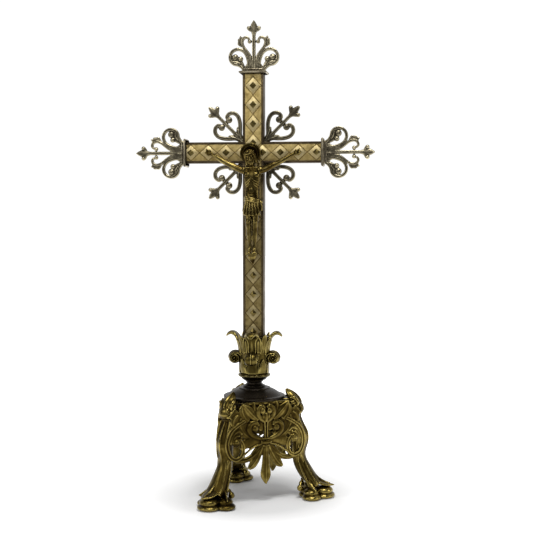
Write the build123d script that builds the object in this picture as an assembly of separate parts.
from build123d import *
import math
import os

# Altar cross: a brass crucifix that stands on a pierced three-legged base.
# Row frame: origin on the floor on the upright axis, +Z up, the figure faces -Y,
# the crossbar runs along X. All sizes are in millimetres.

# Overall sizes
overall_height = 650.0        # floor to the tip of the top finial
arm_reach = 164.0             # crossing to the tip of a side finial
foot_reach = 112.0            # upright axis to the tip of a toe
terminal_length = 71.5        # end of a bar to the tip of its finial
upper_bar = 106.2             # crossing to the end of the top bar

# Bars of the cross
bar_width = 28.5
bar_depth = 18.0
rail_width = 3.0              # edge rail on each side of a sunk panel
panel_sink = 1.4              # depth of the pocket that a face plate lies in
plate_thickness = 1.0
web_thickness = 2.0           # brass between a pocket and the hollow core

# Collars and flat openwork ornament
collar_width = 38.0
collar_depth = 27.5
collar_lip = 3.6              # thickness of the moulded lip
cove_height = 3.4             # cove between the lip and the foot of a finial
collar_plug = 8.0             # tenon inside the hollow bar
plug_clearance = 0.1
finial_thickness = 6.0
finial_stem = 4.6
finial_wire = 3.4
spray_reach = 86.0            # crossing to the tip of a corner spray, along the diagonal
spray_thickness = 5.0
spray_stem = 4.6
spray_wire = 3.8

# Capital
joint_height = 161.0          # where the capital turns on the neck
ring_height = 10.0
ring_overhang = 5.2           # edge of the ring beyond the foot of the bell
bell_margin = 0.35            # foot of the bell beyond the corners of the bar
bell_flare = 2.6              # top of the bell beyond its foot
socket_floor = 196.0          # height of the foot of the shaft
bell_top = 222.0
volute_radius = 9.6
volute_overhang = 8.9         # foot of the bell to the eye of a volute
volute_height = 191.8
volute_width = 18.0
leaf_overhang = 21.6          # foot of the bell to the tip of a leaf
leaf_height = 228.6
leaf_spread = 62.0            # degrees of the capital that one leaf covers

# Swivel on the tie rod
rod_radius = 5.0
running_clearance = 0.08      # radial, between the turning rod and the fixed pieces
rod_top = 190.0
nut_across = 17.0
nut_height = 8.0
washer_radius = 12.0
washer_thickness = 1.5
rod_tail = 4.0                # thread standing below the nut

# Neck, dome and the plate below it
neck_radius = 12.6
neck_foot_radius = 15.6
dome_crown = 151.6            # height at which the neck stands on the dome
dome_radius = 42.5
dome_rim = 3.0                # height of the plain rim
dome_wall = 2.0
hub_radius = 11.0
base_height = 137.0           # floor to the rim seat on the legs
spider_thickness = 3.0
spider_hub = 24.0
spider_arm = 13.0
lug_thickness = 3.0
lug_inner = 35.0
lug_screw_circle = 41.0       # radius of the screws that hold the legs
screw_radius = 2.0
screw_head_radius = 3.6
screw_head_height = 2.4

# Legs
leg_count = 3
leg_width = 18.0
leg_back = 49.0               # inner face of a leg above the arch
knee_radius = 74.0
knee_height = 82.0
waist_radius = 69.5
waist_height = 59.0
ankle_radius = 81.0
ankle_height = 34.5
spur_height = 17.5
crocket_tip = (44.0, 149.3)   # radius and height of the upper leaf tip
crocket_brow = (62.5, 136.0)
crocket_lobe = (67.8, 124.5)
crocket_root = (58.3, 113.2)
sole_height = 7.5
hoof_height = 14.0
toe_length = 14.5
toe_width = 16.5
side_toe_radius = 13.0
side_toe_spread = 16.0
side_toe_back = 31.0          # from the tip of the toe back to the middle of a side toe
heel_radius = 11.0
dew_claw_radius = 4.4
dew_claw_spread = 12.5
dew_claw_back = 46.0

# Openwork panels
panel_thickness = 4.0
panel_back = 38.0             # upright axis to the back face of a panel
panel_half_width = 54.0
panel_top_half = 33.0
panel_gap = 0.4               # between the edge of a panel and the rib of a leg
pendant_tip = 25.0            # height of the lowest leaf point
eye_radius = 13.0             # opening inside a lower scroll
eye_spread = 41.0
eye_height = 82.0
rivet_radius = 1.25
rivet_length = 6.5
rivet_spread = 50.8
rivet_heights = (72.0, 94.0)

# Figure and its fixings
figure_plane = -19.0          # middle of the body, in front of the face plate
head_radius = 8.2
head_lean = -3.0
halo_radius = 13.0
halo_thickness = 1.2
hand_reach = 59.5
nail_radius = 0.8
nail_head_radius = 1.6
foot_spread = 3.4
step_width = 15.0
step_depth = 15.0

# Sizes that follow from those above
bar_top = overall_height - terminal_length
crossing = bar_top - upper_bar
bar_side = arm_reach - terminal_length
half_bar = bar_width / 2
half_depth = bar_depth / 2
bell_radius = math.hypot(half_bar, half_depth) + bell_margin
bell_top_radius = bell_radius + bell_flare
ring_radius = bell_radius + ring_overhang
volute_reach = bell_radius + volute_overhang
leaf_reach = bell_radius + leaf_overhang
pocket_width = bar_width - 2 * rail_width
core_depth = bar_depth - 2 * (panel_sink + web_thickness)
plate_front = -half_depth + panel_sink - plate_thickness
capital_seat = joint_height + ring_height
lug_underside = base_height - lug_thickness
spider_underside = lug_underside - spider_thickness
toe_centre = foot_reach - toe_length
side_toe_centre = foot_reach - side_toe_back
panel_front = panel_back + panel_thickness


def box_between(low, high):
    """Box from its lowest to its highest corner."""
    size = [b - a for a, b in zip(low, high)]
    centre = [(a + b) / 2 for a, b in zip(low, high)]
    return Pos(*centre) * Box(*size)


def turned(points):
    """Solid of revolution about Z from a closed outline of (radius, height)."""
    return revolve(make_face(Plane.XZ * Polyline(*points, close=True)), Axis.Z)


def bore(radius, low, high):
    return Pos(0, 0, (low + high) / 2) * Cylinder(radius, high - low)


def rod_along_y(x, z, radius, front, back):
    """Round rod along Y between two depths."""
    return Pos(x, (front + back) / 2, z) * Rot(90, 0, 0) * Cylinder(radius, back - front)


def around(piece, index, count):
    return Rot(0, 0, 360.0 / count * index) * piece


def mirrored(sketch):
    """A half outline together with its mirror image across the local Y axis."""
    return sketch + mirror(sketch, about=Plane.YZ)


def scroll_ring(x, y, outer, wire, ball, ball_x, ball_y):
    """Open ring of flat wire with the ball end that it curls round."""
    ring = Pos(x, y) * (Circle(outer) - Circle(outer - wire))
    return ring + Pos(ball_x, ball_y) * Circle(ball)


# ---------------------------------------------------------------- bars and plates

def cross_outline(width, low, high, reach):
    """Cross of two strips, drawn in the XZ plane about the crossing."""
    upright = Pos(0, (low + high) / 2) * Rectangle(width, high - low)
    return upright + Pos(0, crossing) * Rectangle(2 * reach, width)


def pocket(sign):
    """Sunk cross-shaped bed for a face plate, front (-1) or back (+1)."""
    outline = cross_outline(pocket_width, socket_floor, bar_top, bar_side)
    bed = extrude(Plane.XZ * outline, amount=panel_sink / 2, both=True)
    return Pos(0, sign * (half_depth - panel_sink / 2), 0) * bed


def face_plate(sign):
    """Cross-shaped sheet that lies on the web in its pocket."""
    outline = cross_outline(pocket_width, socket_floor, bar_top, bar_side)
    sheet = extrude(Plane.XZ * outline, amount=plate_thickness / 2, both=True)
    return Pos(0, sign * (half_depth - panel_sink + plate_thickness / 2), 0) * sheet


def shaft():
    body = box_between((-half_bar, -half_depth, socket_floor), (half_bar, half_depth, bar_top))
    core = box_between((-pocket_width / 2, -core_depth / 2, socket_floor + web_thickness),
                       (pocket_width / 2, core_depth / 2, bar_top))
    return body - core - pocket(-1) - pocket(1)


def arm_bar(side):
    body = box_between((half_bar, -half_depth, crossing - half_bar),
                       (bar_side, half_depth, crossing + half_bar))
    core = box_between((half_bar + web_thickness, -core_depth / 2, crossing - pocket_width / 2),
                       (bar_side, core_depth / 2, crossing + pocket_width / 2))
    bar = body - core
    if side < 0:
        bar = mirror(bar, about=Plane.YZ)
    return bar - pocket(-1) - pocket(1)


# ---------------------------------------------------------------- collars and finials

def at_bar_end(piece, direction):
    """Puts a piece made above the XY plane on the end of the top or a side bar."""
    if direction == "top":
        return Pos(0, 0, bar_top) * piece
    turn = 90 if direction == "right" else -90
    reach = bar_side if direction == "right" else -bar_side
    return Pos(reach, 0, crossing) * Rot(0, turn, 0) * piece


def collar():
    """Moulded plate with a pointed lip, a cove above it and a tenon below."""
    edge = collar_lip / 2 - 0.2
    lip = chamfer(box_between((-collar_width / 2, -collar_depth / 2, 0),
                              (collar_width / 2, collar_depth / 2, collar_lip)).edges(), edge)
    cove_low = Rectangle(collar_width - 8, collar_depth - 8)
    cove_high = Pos(0, 0, cove_height) * Rectangle(collar_width - 12, collar_depth - 13)
    cove = Pos(0, 0, collar_lip) * loft([cove_low, cove_high])
    plug = box_between((-pocket_width / 2 + plug_clearance, -core_depth / 2 + plug_clearance, -collar_plug),
                       (pocket_width / 2 - plug_clearance, core_depth / 2 - plug_clearance, 0))
    return lip + cove + plug


def finial():
    """Flat casting: fleur head on a stem between two pairs of scrolls."""
    foot = collar_lip + cove_height
    head = terminal_length - 17.5
    stem = Pos(0, (foot + head) / 2) * Rectangle(finial_stem, head - foot)
    root = make_face(Polyline((-13, foot), (13, foot), (9, foot + 7), (4.5, foot + 15),
                              (-4.5, foot + 15), (-9, foot + 7), close=True))
    leaf = make_face(Polyline((9, foot), (15, foot), (22, 16), (19, 22), (14, 15), close=True))
    outer = scroll_ring(24, 24, 11.3, finial_wire, 5.2, 27.8, 23.0)
    inner = scroll_ring(14.3, 42.5, 9.0, finial_wire, 3.0, 6.0, 44.0)
    stalk = make_face(Polyline((3, foot + 4), (7.5, foot + 4), (11.5, 30), (20, 36.5), (17, 39),
                               (8, 31), close=True))
    side = mirrored(leaf + outer + inner + stalk)
    lobes = mirrored(Pos(6.4, terminal_length - 9) * Circle(3.4))
    spear = make_face(Polyline((-finial_stem / 2, head), (finial_stem / 2, head), (5.5, head + 7),
                               (3.2, head + 13), (0, terminal_length), (-3.2, head + 13),
                               (-5.5, head + 7), close=True))
    outline = stem + root + side + lobes + spear
    return extrude(Plane.XZ * outline, amount=finial_thickness / 2, both=True)


def corner_spray():
    """Flat casting in the upper right corner: a fleur on a stem between two scrolls."""
    start = half_bar * math.sqrt(2)
    stem = Pos((start + spray_reach - 6) / 2, 0) * Rectangle(spray_reach - 6 - start, spray_stem)
    ring = scroll_ring(50.2, 10.6, 12.2, spray_wire, 4.2, 56.0, 8.2)
    leg = make_face(Polyline((start + 3, 1), (start + 7, 0), (44, 8), (40, 13.5), close=True))
    lobe = Pos(spray_reach - 10.5, 6.2) * Circle(3.4)
    half = ring + leg + lobe
    spear = make_face(Polyline((spray_reach - 16, -2.3), (spray_reach - 9, -5), (spray_reach - 4, -3.2),
                               (spray_reach, 0), (spray_reach - 4, 3.2), (spray_reach - 9, 5),
                               (spray_reach - 16, 2.3), close=True))
    outline = stem + half + mirror(half, about=Plane.XZ) + spear
    flat = extrude(Plane.XZ * (Rot(0, 0, 45) * outline), amount=spray_thickness / 2, both=True)
    foot = make_face(Polyline((half_bar, half_bar), (half_bar + 9, half_bar), (half_bar, half_bar + 9),
                              close=True))
    flat = flat + extrude(Plane.XZ * foot, amount=spray_thickness / 2, both=True)
    bars = Box(2 * half_bar, bar_depth, 2 * bar_side) + Box(2 * bar_side, bar_depth, 2 * half_bar)
    return flat - bars


def place_spray(piece, side, level):
    if side < 0:
        piece = mirror(piece, about=Plane.YZ)
    if level < 0:
        piece = mirror(piece, about=Plane.XY)
    return Pos(0, 0, crossing) * piece


# ---------------------------------------------------------------- capital

def capital_ring():
    """Turned ring with a pointed edge; its flat underside turns on the neck."""
    points = [(rod_radius, joint_height), (neck_radius, joint_height), (ring_radius - 2.8, joint_height + 3.2),
              (ring_radius, joint_height + 5.6), (ring_radius, joint_height + 6.8),
              (bell_radius + 0.6, capital_seat), (rod_radius, capital_seat)]
    return turned(points)


def bell_envelope():
    """Outside of the cup, without its socket."""
    points = [(0, capital_seat), (bell_radius - 0.6, capital_seat), (bell_radius + 0.4, capital_seat + 11),
              (bell_top_radius - 1.0, socket_floor), (bell_top_radius, bell_top - 8),
              (bell_top_radius, bell_top), (0, bell_top)]
    return turned(points)


def capital_bell():
    """Turned cup, with the square socket for the shaft and the thread for the rod."""
    socket = box_between((-half_bar, -half_depth, socket_floor), (half_bar, half_depth, bell_top))
    return bell_envelope() - socket - bore(rod_radius, capital_seat, rod_top)


def volute():
    """Leaf that rises from the ring and rolls outwards into a scroll."""
    top = volute_height + volute_radius
    eye = Pos(volute_reach, volute_height) * Circle(volute_radius)
    root = make_face(Polyline((bell_radius - 3, capital_seat + 1), (bell_radius + 3, capital_seat + 1),
                              (bell_radius + 4, volute_height), (volute_reach, top),
                              (bell_radius - 3, top - 4), close=True))
    solid = extrude(Plane.XZ * (eye + root), amount=volute_width / 2, both=True)
    return solid - bell_envelope()


def acanthus_leaf():
    """Upper leaf that hugs the cup and throws its tip outwards."""
    foot = volute_height + volute_radius + 0.4
    points = [(bell_top_radius, foot), (bell_top_radius + 1.6, foot), (bell_top_radius + 4.7, foot + 13.4),
              (bell_top_radius + 10.2, leaf_height - 7.6), (leaf_reach, leaf_height - 6.3),
              (leaf_reach + 0.2, leaf_height - 5.0), (bell_top_radius + 10.2, leaf_height),
              (bell_top_radius + 3.7, leaf_height - 2.4), (bell_top_radius, bell_top)]
    face = make_face(Plane.XZ * Polyline(*points, close=True))
    return Rot(0, 0, -leaf_spread / 2) * revolve(face, Axis.Z, revolution_arc=leaf_spread)


# ---------------------------------------------------------------- swivel

def tie_rod():
    bottom = spider_underside - washer_thickness - nut_height - rod_tail
    return bore(rod_radius, bottom, rod_top)


def rod_washer():
    top = spider_underside
    low = top - washer_thickness
    return bore(washer_radius, low, top) - bore(rod_radius, low, top)


def rod_nut():
    top = spider_underside - washer_thickness
    low = top - nut_height
    hexagon = Pos(0, 0, low) * extrude(RegularPolygon(nut_across / 2, 6, major_radius=False), nut_height)
    return hexagon - bore(rod_radius, low, top)


# ---------------------------------------------------------------- fixed part of the base

def neck():
    points = [(0, dome_crown), (neck_foot_radius, dome_crown), (neck_radius + 0.6, dome_crown + 3),
              (neck_radius, dome_crown + 6.5), (neck_radius, joint_height), (0, joint_height)]
    return turned(points) - bore(rod_radius + running_clearance, dome_crown, joint_height)


def dome():
    """Moulded cap with a hub that stands on the plate below it."""
    rim_top = base_height + dome_rim
    outer = [(0, dome_crown), (neck_foot_radius, dome_crown), (22.2, dome_crown - 1.0),
             (22.4, dome_crown - 2.2), (28.8, dome_crown - 5.2), (28.8, dome_crown - 6.2),
             (37.6, rim_top + 0.6), (dome_radius, rim_top), (dome_radius, base_height)]
    inner = [(dome_radius - 2 * dome_wall, base_height), (37.6 - dome_wall, rim_top - dome_wall),
             (28.8 - dome_wall, dome_crown - 6.2 - dome_wall), (hub_radius, dome_crown - 3 - dome_wall),
             (hub_radius, lug_underside), (0, lug_underside)]
    hole = bore(rod_radius + running_clearance, lug_underside, dome_crown)
    return turned(outer + inner) - hole


def spider():
    """Three-armed plate that ties the legs together and carries the nut."""
    plate = bore(spider_hub, spider_underside, lug_underside)
    arm = box_between((0, -spider_arm / 2, spider_underside), (leg_back - 1, spider_arm / 2, lug_underside))
    for index in range(leg_count):
        plate = plate + around(arm, index, leg_count)
    for index in range(leg_count):
        hole = Pos(lug_screw_circle, 0, 0) * bore(screw_radius, spider_underside, lug_underside)
        plate = plate - around(hole, index, leg_count)
    return plate - bore(rod_radius + running_clearance, spider_underside, lug_underside)


def leg_screw():
    shank = bore(screw_radius, spider_underside, base_height - 0.5)
    head = bore(screw_head_radius, spider_underside - screw_head_height, spider_underside)
    return Pos(lug_screw_circle, 0, 0) * (shank + head)


def panel_rivet(spread, height):
    """Dowel that pins a panel that faces +X to the flank of a leg."""
    middle = panel_back + 2.0 - rivet_length / 2
    return Pos(middle, spread, height) * Rot(0, 90, 0) * Cylinder(rivet_radius, rivet_length)


def rivets_of_one_panel():
    return [panel_rivet(side * rivet_spread, height) for side in (-1, 1) for height in rivet_heights]


def leg_outline():
    """Side view of a leg that points along +X, in radius and height."""
    knee = (knee_radius, knee_height)
    waist = (waist_radius, waist_height)
    ankle = (ankle_radius, ankle_height)
    spur = (foot_reach - 1.0, spur_height)
    shin = Spline(crocket_root, knee, waist, ankle, spur,
                  tangents=((0.4, -1.0), (1.0, -0.12)))
    hoof = Polyline(spur, (foot_reach - 4, hoof_height), (foot_reach - 4, 1.0),
                    (side_toe_centre - 8, 1.0), (waist_radius - 6, hoof_height), (waist_radius - 6, 24))
    calf = Spline((waist_radius - 6, 24), (waist_radius - 15, 43), (leg_back + 2, 60), (leg_back, 80))
    back = Polyline((leg_back, 80), (leg_back, lug_underside), (lug_inner, lug_underside),
                    (lug_inner, base_height), (dome_radius, base_height))
    tip = Polyline((dome_radius, base_height), (dome_radius + 0.4, base_height + dome_rim + 1), crocket_tip)
    brow = ThreePointArc(crocket_tip, (crocket_tip[0] + 11.5, crocket_tip[1] - 4.6), crocket_brow)
    lobe = ThreePointArc(crocket_brow, crocket_lobe, crocket_root)
    return make_face([shin, hoof, calf, back, tip, brow, lobe])


def leg():
    """Leg casting that points along +X: crocket, shin, cloven foot and dew claws."""
    body = extrude(Plane.XZ * leg_outline(), amount=leg_width / 2, both=True)
    toe = Pos(toe_centre, 0) * Ellipse(toe_length, toe_width)
    toes = toe + Pos(side_toe_centre - 8, 0) * Circle(heel_radius)
    for side in (-1, 1):
        toes = toes + Pos(side_toe_centre, side * side_toe_spread) * Circle(side_toe_radius)
    sole = extrude(toes, sole_height)
    upper_toe = Pos(toe_centre - 1, 0) * Ellipse(toe_length - 2.5, toe_width - 3)
    for side in (-1, 1):
        upper_toe = upper_toe + Pos(side_toe_centre, side * (side_toe_spread - 3)) * Circle(side_toe_radius - 3)
    upper = Pos(0, 0, sole_height) * extrude(upper_toe, hoof_height - sole_height)
    solid = body + sole + upper
    for side in (-1, 1):
        claw = Pos(foot_reach - dew_claw_back, side * dew_claw_spread, hoof_height)
        solid = solid + claw * Sphere(dew_claw_radius)
    for facing in (-60, 60):
        beside = box_between((panel_back, -panel_half_width - panel_gap, pendant_tip),
                             (2 * panel_back, panel_half_width + panel_gap, base_height + 1))
        solid = solid - Rot(0, 0, facing) * beside
        for rivet in rivets_of_one_panel():
            solid = solid - Rot(0, 0, facing) * rivet
    hole = Pos(lug_screw_circle, 0, 0) * bore(screw_radius, lug_underside, base_height - 0.5)
    return solid - hole


def panel_outline():
    """Front view of a panel, in distance across and height."""
    flank = Spline((36, 52), (49, 62), (panel_half_width, knee_height + 2), (44, 106),
                   (36, 120), (panel_top_half, base_height))
    edge = Polyline((panel_top_half, base_height), (0, base_height), (0, pendant_tip), (5.2, 34),
                    (5.2, 46), (12, 55))
    arch = ThreePointArc((12, 55), (24, 58), (36, 52))
    half = make_face([flank, edge, arch])
    half = half + Pos(18.5, 50.5) * Rot(0, 0, -32) * Ellipse(9.5, 5.0)
    crescent = Pos(eye_spread, eye_height) * Circle(eye_radius)
    crescent = crescent - Pos(eye_spread, eye_height + 6) * Circle(eye_radius - 3.5)
    slot = Pos(17.5, 70.5) * Rot(0, 0, -36) * Ellipse(9.0, 3.2)
    window = Pos(10.5, 92.0) * Rot(0, 0, 20) * Ellipse(3.2, 6.5)
    return mirrored(half - crescent - slot - window)


def panel():
    """Openwork casting that faces +X and laps over the flanks of two legs."""
    face = Plane(origin=(panel_back, 0, 0), x_dir=(0, 1, 0), z_dir=(1, 0, 0))
    solid = extrude(face * panel_outline(), amount=panel_thickness)
    for rivet in rivets_of_one_panel():
        solid = solid - rivet
    return solid


# ---------------------------------------------------------------- figure

def tapered(low, high, low_radius, high_radius):
    """Round tapered limb between two points."""
    start = Vector(*low)
    end = Vector(*high)
    axis = end - start
    plane = Plane(origin=start, z_dir=axis.normalized())
    return plane * Pos(0, 0, axis.length / 2) * Cone(low_radius, high_radius, axis.length)


def oval_stack(rings):
    """Loft through ovals given as (drop below the crossing, half width, half depth)."""
    faces = [Pos(0, figure_plane, crossing - drop) * Ellipse(wide, deep) for drop, wide, deep in rings]
    return loft(faces)


def figure():
    """Head, trunk, loincloth, legs and feet in one casting."""
    trunk = oval_stack([(64, 9.5, 6.2), (52, 9.0, 5.8), (36, 11.2, 6.4), (23, 11.5, 5.4)])
    cloth = oval_stack([(85, 10.5, 7.4), (74, 12.0, 7.6), (60, 10.4, 6.8)])
    head = Pos(head_lean, figure_plane, crossing - 4.5) * Sphere(head_radius)
    throat = tapered((0, figure_plane, crossing - 27), (head_lean, figure_plane, crossing - 9), 4.6, 4.2)
    body = trunk + cloth + head + throat
    for side in (-1, 1):
        hip = (side * 4.8, figure_plane, crossing - 80)
        knee = (side * 4.2, figure_plane - 2, crossing - 96)
        ankle = (side * foot_spread, figure_plane + 1, crossing - 127)
        toe = (side * foot_spread, figure_plane - 4, crossing - 135)
        body = body + tapered(hip, knee, 5.2, 4.4) + Pos(*knee) * Sphere(4.6)
        body = body + tapered(knee, ankle, 4.3, 2.8) + Pos(*ankle) * Sphere(3.0)
        body = body + tapered(ankle, toe, 2.8, 2.2)
    cut = box_between((-halo_radius, plate_front - 6, crossing - 40), (halo_radius, 0, crossing + 40))
    return body - cut


def figure_arm(side, body):
    """Arm and hand, soldered to the shoulder and nailed to the crossbar."""
    shoulder = (side * 10.0, figure_plane, crossing - 25.0)
    elbow = (side * 34.0, figure_plane + 1.5, crossing - 12.5)
    wrist = (side * 54.0, figure_plane + 5.0, crossing - 1.5)
    hand = (side * hand_reach, (figure_plane + plate_front) / 2, crossing + 1.2)
    arm = tapered(shoulder, elbow, 4.4, 3.3) + Pos(*elbow) * Sphere(3.5)
    arm = arm + tapered(elbow, wrist, 3.2, 2.2) + Pos(*wrist) * Sphere(2.4)
    palm = Pos(*hand) * Rot(0, -side * 30, 0) * Box(9.0, 3.0, 6.0)
    return arm + palm - body - hand_nail(side)


def halo(body):
    back = plate_front - 6
    middle = crossing - 1.5
    disc = rod_along_y(head_lean, middle, halo_radius, back, back + halo_thickness)
    return disc - body


def hand_nail(side):
    front = (figure_plane + plate_front) / 2 - 1.5
    shank = rod_along_y(side * hand_reach, crossing + 1.2, nail_radius, front, -core_depth / 2 - 0.5)
    head = rod_along_y(side * hand_reach, crossing + 1.2, nail_head_radius, front - 1.0, front)
    return shank + head


def step():
    """Small bracket under the feet, narrowing to a point below."""
    top = crossing - 136.5
    outline = make_face(Polyline((-step_width / 2, top), (step_width / 2, top),
                                 (step_width / 2 - 1.5, top - 4), (0, top - 14),
                                 (-step_width / 2 + 1.5, top - 4), close=True))
    solid = extrude(Plane.XZ * outline, amount=step_depth / 2, both=True)
    return Pos(0, plate_front - step_depth / 2, 0) * solid


def foot_nail(side):
    level = crossing - 131.0
    front = figure_plane - 6.0
    shank = rod_along_y(side * foot_spread, level, nail_radius, front, -core_depth / 2 - 0.5)
    head = rod_along_y(side * foot_spread, level, nail_head_radius, front - 1.0, front)
    return shank + head


# ---------------------------------------------------------------- assembly

def build_base(parts):
    one_leg = leg()
    one_panel = panel()
    leg_names = ("leg_right", "leg_back", "leg_front_left")
    panel_names = ("panel_back_right", "panel_left", "panel_front")
    rivets = []
    screws = []
    for index in range(leg_count):
        parts[leg_names[index]] = around(one_leg, index, leg_count)
        parts[panel_names[index]] = Rot(0, 0, 60) * around(one_panel, index, leg_count)
        screws.append(around(leg_screw(), index, leg_count))
        for rivet in rivets_of_one_panel():
            rivets.append(Rot(0, 0, 60) * around(rivet, index, leg_count))
    parts["panel_rivets"] = Compound(children=rivets)
    parts["leg_screws"] = Compound(children=screws)
    parts["spider_plate"] = spider()
    parts["dome"] = dome()
    parts["neck"] = neck()


def build_capital(parts):
    one_volute = volute()
    one_leaf = acanthus_leaf()
    parts["tie_rod"] = tie_rod()
    parts["rod_washer"] = rod_washer()
    parts["rod_nut"] = rod_nut()
    parts["capital_ring"] = capital_ring()
    parts["capital_bell"] = capital_bell()
    for index, place in enumerate(("right", "back", "left", "front")):
        parts["volute_" + place] = around(one_volute, index, 4)
        parts["acanthus_leaf_" + place] = around(one_leaf, index, 4)


def build_cross(parts):
    nails = [hand_nail(-1), hand_nail(1), foot_nail(-1), foot_nail(1)]
    drilled = {"shaft": shaft(), "crossbar_left": arm_bar(-1), "crossbar_right": arm_bar(1),
               "front_plate": face_plate(-1)}
    for name, piece in drilled.items():
        for nail in nails:
            piece = piece - nail
        parts[name] = piece
    parts["back_plate"] = face_plate(1)
    one_collar = collar()
    one_finial = finial()
    for direction in ("top", "left", "right"):
        parts["collar_" + direction] = at_bar_end(one_collar, direction)
        parts["finial_" + direction] = at_bar_end(one_finial, direction)
    one_spray = corner_spray()
    for level, height_name in ((1, "upper"), (-1, "lower")):
        for side, side_name in ((-1, "left"), (1, "right")):
            parts["spray_" + height_name + "_" + side_name] = place_spray(one_spray, side, level)


def build_figure(parts):
    foot_nails = [foot_nail(-1), foot_nail(1)]
    body = figure()
    parts["halo"] = halo(body)
    parts["figure_arm_left"] = figure_arm(-1, body)
    parts["figure_arm_right"] = figure_arm(1, body)
    for nail in foot_nails:
        body = body - nail
    parts["figure_step"] = step()
    parts["figure"] = body - step()
    parts["hand_nails"] = Compound(children=[hand_nail(-1), hand_nail(1)])
    parts["foot_nails"] = Compound(children=foot_nails)


def main():
    parts = {}
    build_base(parts)
    build_capital(parts)
    build_cross(parts)
    build_figure(parts)
    os.makedirs("parts", exist_ok=True)
    for name, shape in parts.items():
        export_step(shape, "parts/" + name + ".step")
    print(len(parts), "nodes written")


main()
